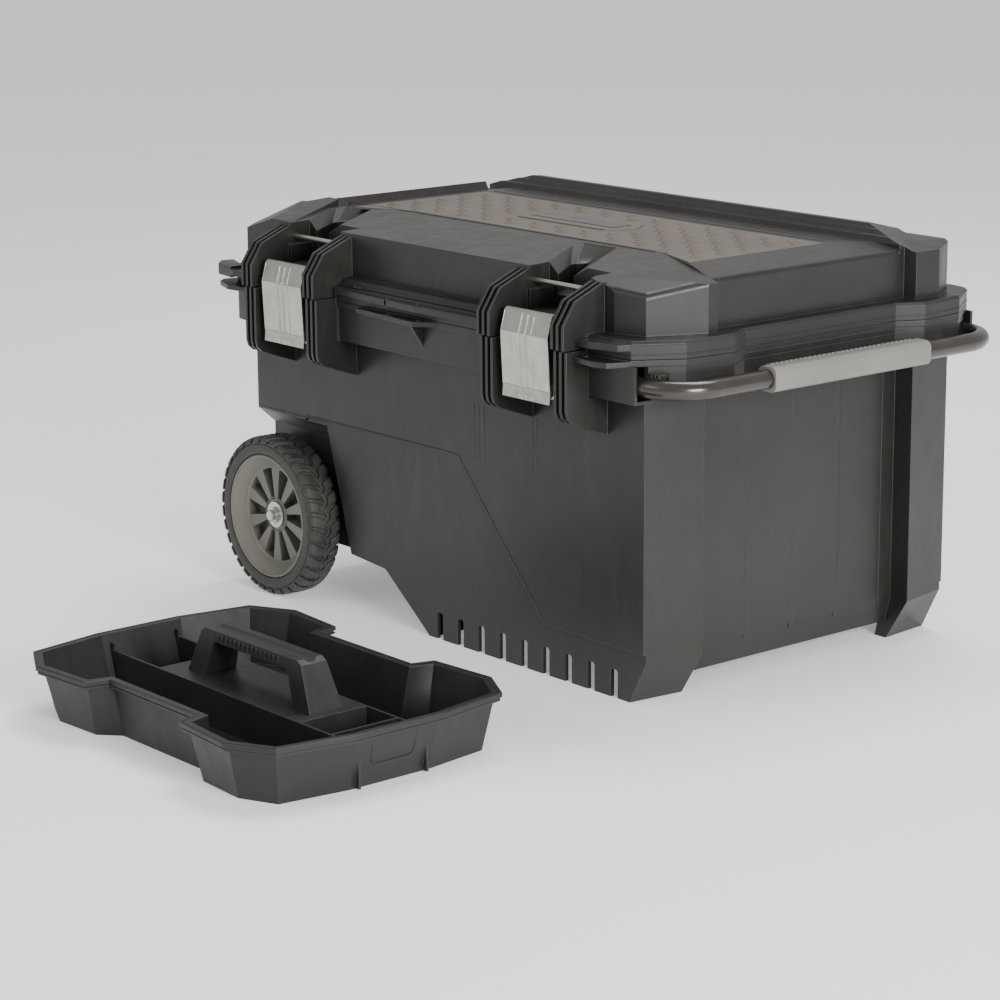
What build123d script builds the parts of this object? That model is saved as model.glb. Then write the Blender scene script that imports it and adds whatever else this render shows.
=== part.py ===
"""Wheeled tool chest with a pull handle, two metal draw latches and a lift-out tray.

Frame: origin on the floor under the middle of the chest, +X towards the pull handle's
grip, -Y towards the latches, +Z up.  Millimetres.
"""
import os
from math import cos, radians, sin

from build123d import *

os.makedirs("parts", exist_ok=True)

# ---------------------------------------------------------------- driving dimensions
WALL = 5.0

# tub
TUB_X0, TUB_X1 = -318.0, 305.0      # outer faces of the two end panels
TUB_Y = 212.0                       # outer face of the front and rear walls
TUB_FLOOR = 36.0                    # underside of the floor
SPLIT_Z = 346.0                     # top of the tub's rim
RIM_T = 6.0                         # thickness of the rim plate
SKIRT_Z = 316.0                     # lower edge of the rim's skirt at the handle end
CORNER_SKIRT_Z = 303.0              # lower edge of the skirt elsewhere
SKIRT_T = 3.0
POST_Y = 146.0                      # inner side of a corner post
POST_FRONT_X, POST_BACK_X = 316.0, 329.0
FOOT_Z = 45.0                       # a post starts to taper inwards below this
END_EDGE_Z = 18.0                   # lower edge of the end panel between the posts
WELL_X = -155.0                     # rear lower corner of a wheel well
WELL_TOP_X = -195.0
WELL_BOTTOM_Z = 62.0
WELL_Z = 201.0                      # roof of the wheel well at the outer wall
WELL_Y = 190.0                      # inner wall of the wheel well
SLOT_X0, SLOT_PITCH, SLOT_N = -2.3, 34.1, 9
SLOT_W, SLOT_H = 10.0, 29.0
RECESS_DEPTH = 3.0

# rim outline, shared by the tub's rim and the lid's flange
RIM_Y = 238.0
RIM_X_OUT, RIM_X_IN = 356.3, 341.4
RIM_STEP_Y0, RIM_STEP_Y1 = 105.0, 132.5
RIM_CORNER = (350.0, 190.0)
RIM_CORNER_END = (321.0, 234.0)

# lid
LID_GAP = 0.6
FLANGE_TOP = 364.0
LID_FRONT_Y = 216.0
LID_TOP = 420.0
LID_FRONT_TOP = 415.0
LID_END_X, LID_BLOCK_X = 323.5, 337.7
BAND_Y = 84.0                       # front edge of the flat top
BAND_X = 270.0                      # where the end bands start to fall
RIDGE_TOP = 433.0
RIDGE_FOOT_Y, RIDGE_Y = 128.0, 145.0
LID_WALL = 4.0
INSERT_T = 2.5

# latches
LATCH_X = 199.0
RIB_OFFSETS = (47.0, 55.0, 63.0)
RIB_T = 3.0
RIB_GAP_Z = (349.0, 351.0)          # parting of the ribs outside the rim
TUB_RIB_Y, LID_RIB_Y = 264.0, 268.0
PIVOT_Y, PIVOT_Z = -243.0, 330.0    # wire bail's pivot on the tub
CURL_Y, CURL_Z = -256.5, 300.0      # latch plate's pivot on the bail
WIRE_R = 1.6
PLATE_W, PLATE_T = 70.0, 1.2
TIE_ROD_R = 2.5
TIE_ROD_Y, TIE_ROD_Z = -209.0, 400.0

# hinge
HINGE_Y, HINGE_Z = 247.0, 350.0
HINGE_R, PIN_R = 6.5, 2.5
HINGE_X = 190.0
RUN_CLEAR = 0.06

# pull handle
TUBE_R, TUBE_WALL = 9.5, 1.5
LEG_Y, TUBE_Z = 222.5, 320.0
BAR_X, BEND_R = 375.0, 45.0
LEG_END_X = -124.0
GRIP_HALF = 108.0
CHANNEL_X0, CHANNEL_X1 = -132.0, 328.0
CHANNEL_Y = 235.5
CHANNEL_T = 3.0

# wheels
WHEEL_R, WHEEL_X = 89.0, -269.0
WHEEL_Y0, WHEEL_Y1 = 201.0, 241.0
RIM_R = 68.5
AXLE_R = 6.0
AXLE_END = 236.0
HUB_Y = 226.0                       # outer face of the hub
SPOKES = 10

# tray
TRAY_X, TRAY_Y = 127.0, -528.0
TRAY_H = 57.0
TRAY_WALL = 2.6
DECK_Z = 42.0
STRIP_HALF = 38.5


# ---------------------------------------------------------------- helpers
def save(piece, label):
    """Label a finished piece and write it as one STEP file."""
    piece.label = label
    export_step(piece, f"parts/{label}.step")


def quarter_to_full(points):
    """Mirror a run of points in the +X +Y quarter, from +X to +Y, into a closed outline."""
    upper = points + [(-x, y) for x, y in reversed(points)]
    return upper + [(-x, -y) for x, y in upper]


def rim_outline(inset=0.0):
    """Outline of the rim and flange; inset moves every side inwards."""
    return quarter_to_full([
        (RIM_X_IN - inset, RIM_STEP_Y0),
        (RIM_X_OUT - inset, RIM_STEP_Y1),
        (RIM_CORNER[0] - inset, RIM_CORNER[1] - 0.3 * inset),
        (RIM_CORNER_END[0] - 0.6 * inset, RIM_CORNER_END[1] - 0.9 * inset),
        (300.0 - 0.4 * inset, RIM_Y - inset),
    ])


def block_outline(inset=0.0):
    """Outline of the lid's raised body with its proud corner blocks."""
    end, block_x, y = LID_END_X - inset, LID_BLOCK_X - inset, LID_FRONT_Y - inset
    rear = [(end, 135 + inset), (block_x, 138 + inset), (block_x, 172),
            (318 - 0.7 * inset, 206 - 0.7 * inset), (304, y)]
    return [(277, -y), (311 - 0.8 * inset, -206 + 0.5 * inset), (block_x, -150),
            (block_x, -138 - inset), (end, -135 - inset), *rear, *[(-a, b) for a, b in reversed(rear)],
            (-end, -135 - inset), (-block_x, -138 - inset), (-block_x, -200),
            (-325 + 0.6 * inset, -y)]


def prism(plane, points, height, both=False, mode=Mode.ADD):
    """Extrude a polygon given by its corner points."""
    with BuildSketch(plane) as outline:
        with BuildLine():
            Polyline(points, close=True)
        make_face()
    extrude(outline.sketch, amount=height, both=both, mode=mode)


def block(low, high, mode=Mode.ADD):
    """Axis-aligned block between two corners."""
    centre = [(a + b) / 2 for a, b in zip(low, high)]
    size = [b - a for a, b in zip(low, high)]
    with Locations(tuple(centre)):
        Box(*size, mode=mode)


def rod(radius, start, end, mode=Mode.ADD):
    """Round bar between two points."""
    axis = Vector(*end) - Vector(*start)
    with BuildSketch(Plane(origin=start, z_dir=axis)) as section:
        Circle(radius)
    extrude(section.sketch, amount=axis.length, mode=mode)


def edges_at(points, pool, tolerance=1.5):
    """Edges whose centre is at one of the points, or at its mirror image in X or Y."""
    return [edge for edge in pool for x, y, z in points
            if abs(abs(edge.center().X) - x) < tolerance
            and abs(abs(edge.center().Y) - y) < tolerance
            and abs(edge.center().Z - z) < tolerance]


def side_profile(y):
    """Plane of a side view (local x = X, local y = Z) at the given Y, facing -Y."""
    return Plane(origin=(0, y, 0), x_dir=(1, 0, 0), z_dir=(0, -1, 0))


def end_profile(x):
    """Plane of an end view (local x = Y, local y = Z) at the given X, facing +X."""
    return Plane(origin=(x, 0, 0), x_dir=(0, 1, 0), z_dir=(1, 0, 0))


def ring(z, outer, inner, height, mode=Mode.ADD):
    """Upright band between two outlines."""
    with BuildSketch(Plane.XY.offset(z)) as band:
        with BuildLine():
            Polyline(outer, close=True)
        make_face()
        with BuildLine():
            Polyline(inner, close=True)
        make_face(mode=Mode.SUBTRACT)
    extrude(band.sketch, amount=height, mode=mode)


def tube_section(outer, inner, y0, y1, mode=Mode.ADD):
    """Ring around the wheel axis between two Y positions."""
    with BuildSketch(Plane(origin=(WHEEL_X, min(y0, y1), WHEEL_R), x_dir=(1, 0, 0),
                           z_dir=(0, 1, 0))) as section:
        Circle(outer)
        Circle(inner, mode=Mode.SUBTRACT)
    extrude(section.sketch, amount=abs(y1 - y0), mode=mode)


LATCHES = {"left": -LATCH_X, "right": LATCH_X}
RIB_CENTRES = [c + s * o for c in LATCHES.values() for s in (-1, 1) for o in RIB_OFFSETS]
HINGE_CENTRES = (-HINGE_X, HINGE_X)
HINGE_SPREAD, HINGE_OUTER_W, HINGE_INNER_W = 32.0, 16.0, 46.0
PADLOCK_R = 3.5
PADLOCK_HOLES = ((-300.0, -247.0), (-36.0, -246.0), (14.0, -246.0), (273.0, -246.0))
GUSSET_X, GUSSET_T = 9.0, 3.0          # right face and thickness of the middle ledge's gusset
# ledges that carry the padlock holes: outlines of the middle and the outer ones
TUB_LEDGES = ([(-94, -RIM_Y + 3), (-90, -246), (15, -254), (36, -RIM_Y + 3)],
              [(264, -RIM_Y + 3), (264, -256), (298, -261), (312, -257), (322, -RIM_Y + 6)],
              [(-264, -RIM_Y + 3), (-264, -256), (-304, -259), (-332, -249), (-341, -RIM_Y),
               (-338, -222)])
LID_LEDGES = ([(-134, -RIM_Y + 3), (-131, -243), (-94, -246), (15, -252), (132, -247),
               (134, -RIM_Y + 3)],
              [(264, -RIM_Y + 3), (264, -253), (284, -254), (314, -245), (322, -RIM_Y + 6)],
              [(-264, -RIM_Y + 3), (-264, -253), (-300, -254), (-336, -248), (-351, -233),
               (-347, -220)])


# ---------------------------------------------------------------- tub
with BuildPart() as tub:
    # outer side profile: foot, step up to the wheel well, upper body
    prism(side_profile(0), [
        (-20, 0), (293, 0), (TUB_X1, FOOT_Z), (TUB_X1, SPLIT_Z), (TUB_X0, SPLIT_Z), (TUB_X0, WELL_Z),
        (WELL_TOP_X, WELL_Z - 2), (WELL_X, WELL_BOTTOM_Z + 1), (-95, 58)], TUB_Y, both=True)
    # body between the wheel wells, with the bevel that leads out to the upper wall
    block((TUB_X0, -WELL_Y, WELL_BOTTOM_Z), (-150, WELL_Y, WELL_Z + 4))
    for side in (-1, 1):
        prism(end_profile(TUB_X0), [
            (side * TUB_Y, WELL_Z), (side * WELL_Y, WELL_Z - 19), (side * WELL_Y, WELL_Z + 1),
            (side * TUB_Y, WELL_Z + 1)], WELL_TOP_X - 2 - TUB_X0)
    # corner posts at the handle end, tapering to the floor
    for side in (-1, 1):
        post = [(290, side * POST_Y), (POST_BACK_X, side * POST_Y), (POST_FRONT_X, side * TUB_Y),
                (290, side * TUB_Y)]
        foot = [(280, side * POST_Y), (300, side * POST_Y), (293, side * TUB_Y),
                (280, side * TUB_Y)]
        prism(Plane.XY.offset(FOOT_Z), post, SPLIT_Z - RIM_T - FOOT_Z)
        with BuildSketch(Plane.XY.offset(FOOT_Z)) as post_section:
            Polygon(*post, align=None)
        with BuildSketch(Plane.XY) as foot_section:
            Polygon(*foot, align=None)
        loft([foot_section.sketch, post_section.sketch], ruled=True)
    # the end panel stops short of the floor between the posts, with a bevelled lower edge
    prism(side_profile(0), [(280, -1), (320, -1), (320, 34), (TUB_X1, 34), (298, END_EDGE_Z),
                            (280, END_EDGE_Z)], POST_Y, both=True, mode=Mode.SUBTRACT)
    # the lower panel of the front and rear walls is set back
    for side in (-1, 1):
        prism(side_profile(side * (TUB_Y - RECESS_DEPTH)), [
            (-230, -5), (330, -5), (330, 53), (168, 53), (33, WELL_Z + 2), (-230, WELL_Z + 2)],
            -side * (RECESS_DEPTH + 4), mode=Mode.SUBTRACT)
    # rim plate and its skirt
    prism(Plane.XY.offset(SPLIT_Z - RIM_T), rim_outline(), RIM_T)
    ring(CORNER_SKIRT_Z, rim_outline(1.0), rim_outline(1.0 + SKIRT_T), SPLIT_Z - RIM_T - CORNER_SKIRT_Z)
    block((320, -203, CORNER_SKIRT_Z - 1), (360, 203, SKIRT_Z), mode=Mode.SUBTRACT)
    # latch ribs on the front wall
    for x in RIB_CENTRES:
        prism(end_profile(x - RIB_T / 2), [
            (-TUB_Y + 1, 262.7), (-256, 279), (-TUB_RIB_Y + 2, 284), (-TUB_RIB_Y, 291),
            (-TUB_RIB_Y, RIB_GAP_Z[0]), (-RIM_Y - 0.6, RIB_GAP_Z[0]), (-RIM_Y - 0.6, SPLIT_Z),
            (-TUB_Y + 1, SPLIT_Z)], RIB_T)
    # room for the handle channels, and for the pull handle's bends
    for side in (-1, 1):
        block((CHANNEL_X0, min(side * TUB_Y, side * 240), CORNER_SKIRT_Z - 1),
              (CHANNEL_X1 + 1, max(side * TUB_Y, side * 240), SPLIT_Z - RIM_T), mode=Mode.SUBTRACT)
        block((CHANNEL_X1, min(side * 203, side * 240), CORNER_SKIRT_Z - 1),
              (360, max(side * 203, side * 240), 333), mode=Mode.SUBTRACT)
    for x in RIB_CENTRES:
        if x > CHANNEL_X0:
            block((x - RIB_T / 2, -TUB_RIB_Y, 292), (x + RIB_T / 2, -CHANNEL_Y, SPLIT_Z))
            block((x - RIB_T / 2, -TUB_RIB_Y + 3, 285), (x + RIB_T / 2, -CHANNEL_Y, 303))
    # inside: upper space, lower space, posts
    prism(side_profile(0), [
        (TUB_X0 + WALL, 207), (-191, 205), (-149, 69), (-93, 64), (-68, 41), (TUB_X1 - WALL, 41),
        (TUB_X1 - WALL, SPLIT_Z + 1), (TUB_X0 + WALL, SPLIT_Z + 1)], TUB_Y - 6.5, both=True,
        mode=Mode.SUBTRACT)
    block((TUB_X0 + WALL, -WELL_Y + WALL, 110), (-150, WELL_Y - WALL, 208), mode=Mode.SUBTRACT)
    for side in (-1, 1):
        prism(Plane.XY.offset(60), [
            (295, side * (POST_Y + 5)), (323.5, side * (POST_Y + 5)), (311.5, side * (TUB_Y - 6.5)),
            (295, side * (TUB_Y - 6.5))], 290, mode=Mode.SUBTRACT)
    # underside: open space behind the skirts, and behind the axle walls
    prism(side_profile(0), [(-13, -1), (284, -1), (293, TUB_FLOOR), (-58, TUB_FLOOR)], TUB_Y - 7.5,
          both=True, mode=Mode.SUBTRACT)
    block((TUB_X0 + WALL, -WELL_Y + WALL, 50), (-162, WELL_Y - WALL, 105), mode=Mode.SUBTRACT)
    for y in (-70, 70):
        block((TUB_X0 + 2, y - 2, WELL_BOTTOM_Z + 4), (-160, y + 2, 106))
    # slots in the skirt
    for i in range(SLOT_N):
        x = SLOT_X0 + i * SLOT_PITCH
        prism(side_profile(0), [
            (x - SLOT_W / 2, -1), (x - SLOT_W / 2, SLOT_H - 2), (x - SLOT_W / 2 + 2, SLOT_H),
            (x + SLOT_W / 2 - 2, SLOT_H), (x + SLOT_W / 2, SLOT_H - 2), (x + SLOT_W / 2, -1)],
            TUB_Y + 5, both=True, mode=Mode.SUBTRACT)
    # foot pad under the middle of the floor
    block((-12, -12, 0), (12, 12, TUB_FLOOR + 1))
    # padlock ledges under the lid's, the middle one with a gusset
    for points in TUB_LEDGES:
        prism(Plane.XY.offset(SPLIT_Z - RIM_T), points, RIM_T - 1)
    prism(end_profile(GUSSET_X - GUSSET_T), [
        (-CHANNEL_Y, SPLIT_Z - RIM_T), (-251, SPLIT_Z - RIM_T), (-CHANNEL_Y, 317)], GUSSET_T)
    for x, y in PADLOCK_HOLES:
        rod(PADLOCK_R, (x, y, SPLIT_Z - RIM_T - 1), (x, y, SPLIT_Z + 1), mode=Mode.SUBTRACT)
    # rear hinge knuckles
    for x in HINGE_CENTRES:
        for side in (-HINGE_SPREAD, HINGE_SPREAD):
            x0 = x + side - HINGE_OUTER_W / 2
            block((x0, RIM_Y - 4, SPLIT_Z - RIM_T), (x0 + HINGE_OUTER_W, HINGE_Y, SPLIT_Z))
            rod(HINGE_R, (x0, HINGE_Y, HINGE_Z), (x0 + HINGE_OUTER_W, HINGE_Y, HINGE_Z))
            rod(PIN_R, (x0 - 1, HINGE_Y, HINGE_Z), (x0 + HINGE_OUTER_W + 1, HINGE_Y, HINGE_Z),
                mode=Mode.SUBTRACT)
    # pivot holes for the wire bails, and the axle's bores
    for c in LATCHES.values():
        rod(WIRE_R + RUN_CLEAR, (c - 49, PIVOT_Y, PIVOT_Z), (c + 49, PIVOT_Y, PIVOT_Z),
            mode=Mode.SUBTRACT)
    rod(AXLE_R, (WHEEL_X, -200, WHEEL_R), (WHEEL_X, 200, WHEEL_R), mode=Mode.SUBTRACT)
save(tub.part, "tub")

# ---------------------------------------------------------------- handle channels
for name, side in (("front", -1), ("rear", 1)):
    with BuildPart() as channel:
        prism(end_profile(CHANNEL_X0), [
            (side * CHANNEL_Y, SPLIT_Z - RIM_T), (side * (CHANNEL_Y - CHANNEL_T), SPLIT_Z - RIM_T),
            (side * (CHANNEL_Y - CHANNEL_T), 307), (side * TUB_Y, 307), (side * TUB_Y, 304),
            (side * CHANNEL_Y, 304)], CHANNEL_X1 - CHANNEL_X0)
    save(channel.part, f"handle_channel_{name}")

# ---------------------------------------------------------------- axle and its small parts
with BuildPart() as axle:
    rod(AXLE_R, (WHEEL_X, -AXLE_END, WHEEL_R), (WHEEL_X, AXLE_END, WHEEL_R))
    chamfer(axle.faces().filter_by(Axis.Y).edges(), 1.0)
save(axle.part, "axle")

with BuildPart() as washers:
    for side in (-1, 1):
        for y0, y1, r in ((WELL_Y + 0.1, WELL_Y + 2.1, 13.0), (HUB_Y + 0.4, HUB_Y + 2.2, 14.5)):
            tube_section(r, AXLE_R, side * y0, side * y1)
save(washers.part, "axle_washers")

with BuildPart() as caps:
    for side in (-1, 1):
        tube_section(8.6, AXLE_R, side * (HUB_Y + 2.2), side * (HUB_Y + 5.4))
save(caps.part, "push_nuts")

# ---------------------------------------------------------------- wheels
for name, side in (("front", -1), ("rear", 1)):
    with BuildPart() as bush:
        tube_section(9.0, AXLE_R + RUN_CLEAR, side * (WELL_Y + 2.5), side * HUB_Y)
    save(bush.part, f"wheel_bush_{name}")

    with BuildPart() as rim:
        with BuildSketch(Plane(origin=(WHEEL_X, 0, WHEEL_R), x_dir=(1, 0, 0), z_dir=(0, 0, 1))) as half:
            with BuildLine():
                # local x is the radius, local y runs outwards along the axle
                Polyline((52, 207), (66, 204), (RIM_R, 204), (RIM_R, 239), (66.5, 239.6), (65, 238),
                         (55, 228), (52, 226), close=True)
            make_face()
        revolve(half.sketch, axis=Axis((WHEEL_X, 0, WHEEL_R), (0, 1, 0)))
        tube_section(17.0, 9.0, WELL_Y + 2.5, HUB_Y)
        tube_section(53.0, 16.0, 208, 212)
        for i in range(SPOKES):
            turn = radians(i * 360 / SPOKES + 18)
            with BuildSketch(Plane(origin=(WHEEL_X, 206, WHEEL_R), x_dir=(cos(turn), 0, sin(turn)),
                                   z_dir=(0, 1, 0))) as spoke:
                Polygon((15, -2.3), (53, -7.5), (53, 7.5), (15, 2.3), align=None)
            extrude(spoke.sketch, amount=20)
    wheel_rim = rim.part if side > 0 else mirror(rim.part, about=Plane.XZ)
    save(wheel_rim, f"wheel_rim_{name}")

    with BuildPart() as tyre:
        with BuildSketch(Plane(origin=(WHEEL_X, 0, WHEEL_R))) as half:
            with BuildLine():
                Polyline((RIM_R, 204.5), (72, WHEEL_Y0), (82, WHEEL_Y0), (WHEEL_R - 1.5, 205),
                         (WHEEL_R, 210), (WHEEL_R, 232), (WHEEL_R - 1.5, 237), (82, WHEEL_Y1),
                         (73, WHEEL_Y1), (RIM_R, 238.5), close=True)
            make_face()
        revolve(half.sketch, axis=Axis((WHEEL_X, 0, WHEEL_R), (0, 1, 0)))
    tyre_part = tyre.part if side > 0 else mirror(tyre.part, about=Plane.XZ)
    save(tyre_part, f"tyre_{name}")

# ---------------------------------------------------------------- pull handle
with BuildPart() as pull_tube:
    with BuildLine() as route:
        FilletPolyline((LEG_END_X, -LEG_Y, TUBE_Z), (BAR_X, -LEG_Y, TUBE_Z), (BAR_X, LEG_Y, TUBE_Z),
                       (LEG_END_X, LEG_Y, TUBE_Z), radius=BEND_R)
    with BuildSketch(Plane(origin=(LEG_END_X, -LEG_Y, TUBE_Z), z_dir=(1, 0, 0))):
        Circle(TUBE_R)
        Circle(TUBE_R - TUBE_WALL, mode=Mode.SUBTRACT)
    sweep(path=route.wire())
save(pull_tube.part, "handle_tube")

with BuildPart() as grip:
    with BuildSketch(Plane(origin=(BAR_X, -GRIP_HALF, TUBE_Z), x_dir=(1, 0, 0), z_dir=(0, 1, 0))) as section:
        RectangleRounded(24.6, 24.6, 7)
        Circle(TUBE_R, mode=Mode.SUBTRACT)
    extrude(section.sketch, amount=2 * GRIP_HALF)
save(grip.part, "handle_grip")

with BuildPart() as glides:
    for side in (-1, 1):
        low = (LEG_END_X - 6, min(side * 212.6, side * 232.1), 307.4)
        high = (LEG_END_X, max(side * 212.6, side * 232.1), 339.4)
        block(low, high)
        rod(TUBE_R - TUBE_WALL, (LEG_END_X - 6, side * LEG_Y, TUBE_Z),
            (LEG_END_X + 22, side * LEG_Y, TUBE_Z))
save(glides.part, "handle_glides")

# ---------------------------------------------------------------- lid
SCOOP_TOP = [(-30, -221), (-45, -198), (-98, -114), (-98, -99), (-51, -97), (34, -215)]
SCOOP_FOOT = [(-14, -221), (-20, -206), (-69, -142), (-70, -134), (-62, -122), (10, -217)]
with BuildPart() as scoop:
    # slanting hopper that runs back from a latch's pocket: steep foot, wide bevelled mouth
    prism(Plane.XY.offset(385), SCOOP_FOOT, 21)
    with BuildSketch(Plane.XY.offset(405)) as foot_outline:
        Polygon(*SCOOP_FOOT, align=None)
    with BuildSketch(Plane.XY.offset(419)) as top_outline:
        Polygon(*SCOOP_TOP, align=None)
    loft([foot_outline.sketch, top_outline.sketch], ruled=True)
    prism(Plane.XY.offset(419), SCOOP_TOP, 6)

with BuildPart() as facet:
    # what the facet takes off the lid's front right corner
    prism(Plane.XY.offset(395), [(200, -BAND_Y), (LID_END_X, -135), (345, -135), (345, -230),
                                 (100, -230), (100, -BAND_Y)], 30)
    split(bisect_by=Plane(origin=(200, -BAND_Y, LID_TOP), z_dir=(592, -436.5, 15698.7)),
          keep=Keep.TOP)

with BuildPart() as corner_cut:
    # small chamfer across the same corner's tip
    prism(Plane.XY.offset(395), [(225, -230), (225, -140), (345, -140), (345, -230)], 30)
    split(bisect_by=Plane(origin=(311, -206, 403.5), z_dir=(742.4, -1084.4, 3933)), keep=Keep.TOP)

with BuildPart() as left_rise:
    # the roof's front left corner, which climbs to the bumper and falls away at the tip
    prism(Plane.XY.offset(405), [
        (-325, -LID_FRONT_Y), (-244, -LID_FRONT_Y), (-256, -191), (-303, -107), (-321, -107),
        (-LID_END_X, -135), (-LID_BLOCK_X, -138), (-LID_BLOCK_X, -200)], 25)
    split(bisect_by=Plane(origin=(-277, -LID_FRONT_Y, 416), z_dir=(16, -77, 1000)), keep=Keep.BOTTOM)
    split(bisect_by=Plane(origin=(-277, -LID_FRONT_Y, 416), z_dir=(-425.7, -408.2, 1405.8)),
          keep=Keep.BOTTOM)

with BuildPart() as left_tip:
    # what that corner loses
    prism(Plane.XY.offset(395), [(-230, -230), (-345, -230), (-345, -130), (-300, -130)], 30)
    split(bisect_by=Plane(origin=(-277, -LID_FRONT_Y, 416), z_dir=(-425.7, -408.2, 1405.8)),
          keep=Keep.TOP)

with BuildPart() as ridge:
    # stepped ridge along the rear, falling away at its ends into the corner blocks
    prism(end_profile(-LID_BLOCK_X), [
        (RIDGE_FOOT_Y, 402), (RIDGE_FOOT_Y, LID_TOP - 1.6), (131, 424), (135, 424.6), (139, 429),
        (142, 429.6), (RIDGE_Y, RIDGE_TOP), (RIDGE_Y + 7, RIDGE_TOP), (LID_FRONT_Y, 418.5),
        (LID_FRONT_Y, 402)], 2 * LID_BLOCK_X)
    prism(Plane.XY.offset(395), block_outline(), 45, mode=Mode.INTERSECT)
    for side in (-1, 1):
        split(bisect_by=Plane(origin=(side * 271, 140, RIDGE_TOP), z_dir=(side * 343, 333, 1000)),
              keep=Keep.BOTTOM)

INSERT_OUTLINE = [(268, 76), (-268, 76), (-268, -110), (-197, -83), (197, -83), (268, -110)]

with BuildPart() as lid:
    # flange with its bevelled upper edge, and the raised body
    prism(Plane.XY.offset(SPLIT_Z + LID_GAP), rim_outline(), FLANGE_TOP - SPLIT_Z - LID_GAP)
    chamfer(lid.faces().sort_by(Axis.Z)[-1].edges(), 2.5)
    prism(Plane.XY.offset(FLANGE_TOP - 1), block_outline(), LID_TOP - FLANGE_TOP + 1)
    # roof: front and rear bands, end bands, corner facets
    for side in (-1, 1):
        prism(end_profile(0), [
            (side * BAND_Y, LID_TOP), (side * LID_FRONT_Y, LID_FRONT_TOP),
            (side * 260, LID_FRONT_TOP - 1.7), (side * 260, LID_TOP + 9)], 400, both=True,
            mode=Mode.SUBTRACT)
        prism(side_profile(0), [
            (side * BAND_X, LID_TOP), (side * LID_END_X, LID_TOP - 6.5), (side * 380, LID_TOP - 13.4),
            (side * 380, LID_TOP + 1)], 300, both=True, mode=Mode.SUBTRACT)
    add(facet.part, mode=Mode.SUBTRACT)
    add(corner_cut.part, mode=Mode.SUBTRACT)
    add(left_tip.part, mode=Mode.SUBTRACT)
    # rounded upper edges of the front right corner block and of the end faces
    fillet(edges_at([(322.3, 182.4, 407.9), (294, 211, 405.3)], lid.edges()), 7.0)
    fillet(edges_at([(LID_END_X, 0, LID_TOP - 6.5)], lid.edges()), 5.0)
    add(left_rise.part)
    add(ridge.part)
    # bumper along the top of the wheel end
    prism(side_profile(0), [(-321, 412), (-317, 423), (-306, 425.5), (-301, 417), (-301, 410)], 108,
          both=True)
    # room for the insert
    prism(Plane.XY.offset(LID_TOP - INSERT_T), INSERT_OUTLINE, 6, mode=Mode.SUBTRACT)
    # inside of the lid
    prism(Plane.XY.offset(SPLIT_Z), rim_outline(10), 14, mode=Mode.SUBTRACT)
    prism(Plane.XY.offset(355), block_outline(LID_WALL), 42, mode=Mode.SUBTRACT)
    block((-262, -198, 390), (262, 198, 409), mode=Mode.SUBTRACT)
    # latch ribs on the front face
    for x in RIB_CENTRES:
        prism(end_profile(x - RIB_T / 2), [
            (-LID_FRONT_Y - 1, 411.5), (-253.5, 396.4), (-LID_RIB_Y, 375), (-LID_RIB_Y, RIB_GAP_Z[1]),
            (-RIM_Y - 0.6, RIB_GAP_Z[1]), (-RIM_Y - 0.6, SPLIT_Z + LID_GAP),
            (-RIM_Y + 9, SPLIT_Z + LID_GAP), (-RIM_Y + 9, 362), (-LID_FRONT_Y + 3, 362),
            (-LID_FRONT_Y + 3, 411.5)], RIB_T)
    # pocket above each latch, with the trough that runs back from it
    for c in LATCHES.values():
        block((c - 70, -LID_FRONT_Y + 2, 385), (c + 49, -184, 411))
        block((c - 49, -LID_FRONT_Y + 2, 360), (c + 49, -184, 386))
        block((c - 115, -190, 394), (c + 45, -86, 412))
        block((c - 82, -190, 381), (c + 45, -112, 396))
        block((c - 45.5, -LID_FRONT_Y - 2, 372), (c + 45.5, -190, 425), mode=Mode.SUBTRACT)
        add(scoop.part.moved(Location((c, 0, 0))), mode=Mode.SUBTRACT)
        # bosses that hold the tie rod, and the lip that the latch plate reaches over
        for side in (-1, 1):
            block((c + side * 43.5 - 2.5, -LID_FRONT_Y - 3, 372), (c + side * 43.5 + 2.5, -188, 392))
        prism(end_profile(c - 40), [(-246.5, 356), (-246.5, 366), (-243, 371), (-230, 372),
                                    (-212, 372), (-212, 356)], 80)
        rod(TIE_ROD_R, (c - 49, TIE_ROD_Y, TIE_ROD_Z), (c + 49, TIE_ROD_Y, TIE_ROD_Z),
            mode=Mode.SUBTRACT)
    # raised ledge between the latches, and the padlock ledges
    prism(end_profile(-LATCH_X + 66), [(-232, 362), (-229, 368.5), (-216, 370), (-214, 362)],
          2 * LATCH_X - 132)
    for points in LID_LEDGES:
        prism(Plane.XY.offset(355), points, 6)
    prism(Plane.XY.offset(352), [(-306, -RIM_Y + 2), (-306, -252.5), (-336, -248), (-351, -233),
                                 (-347, -220)], FLANGE_TOP - 352)
    for x, y in PADLOCK_HOLES:
        rod(PADLOCK_R, (x, y, SPLIT_Z), (x, y, 363), mode=Mode.SUBTRACT)
    # hinge knuckles at the rear
    for x in HINGE_CENTRES:
        x0 = x - HINGE_INNER_W / 2
        block((x0, RIM_Y - 6, 351), (x0 + HINGE_INNER_W, HINGE_Y, 356.5))
        rod(HINGE_R, (x0, HINGE_Y, HINGE_Z), (x0 + HINGE_INNER_W, HINGE_Y, HINGE_Z))
        rod(PIN_R + RUN_CLEAR, (x0 - 1, HINGE_Y, HINGE_Z), (x0 + HINGE_INNER_W + 1, HINGE_Y, HINGE_Z),
            mode=Mode.SUBTRACT)
save(lid.part, "lid")

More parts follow.
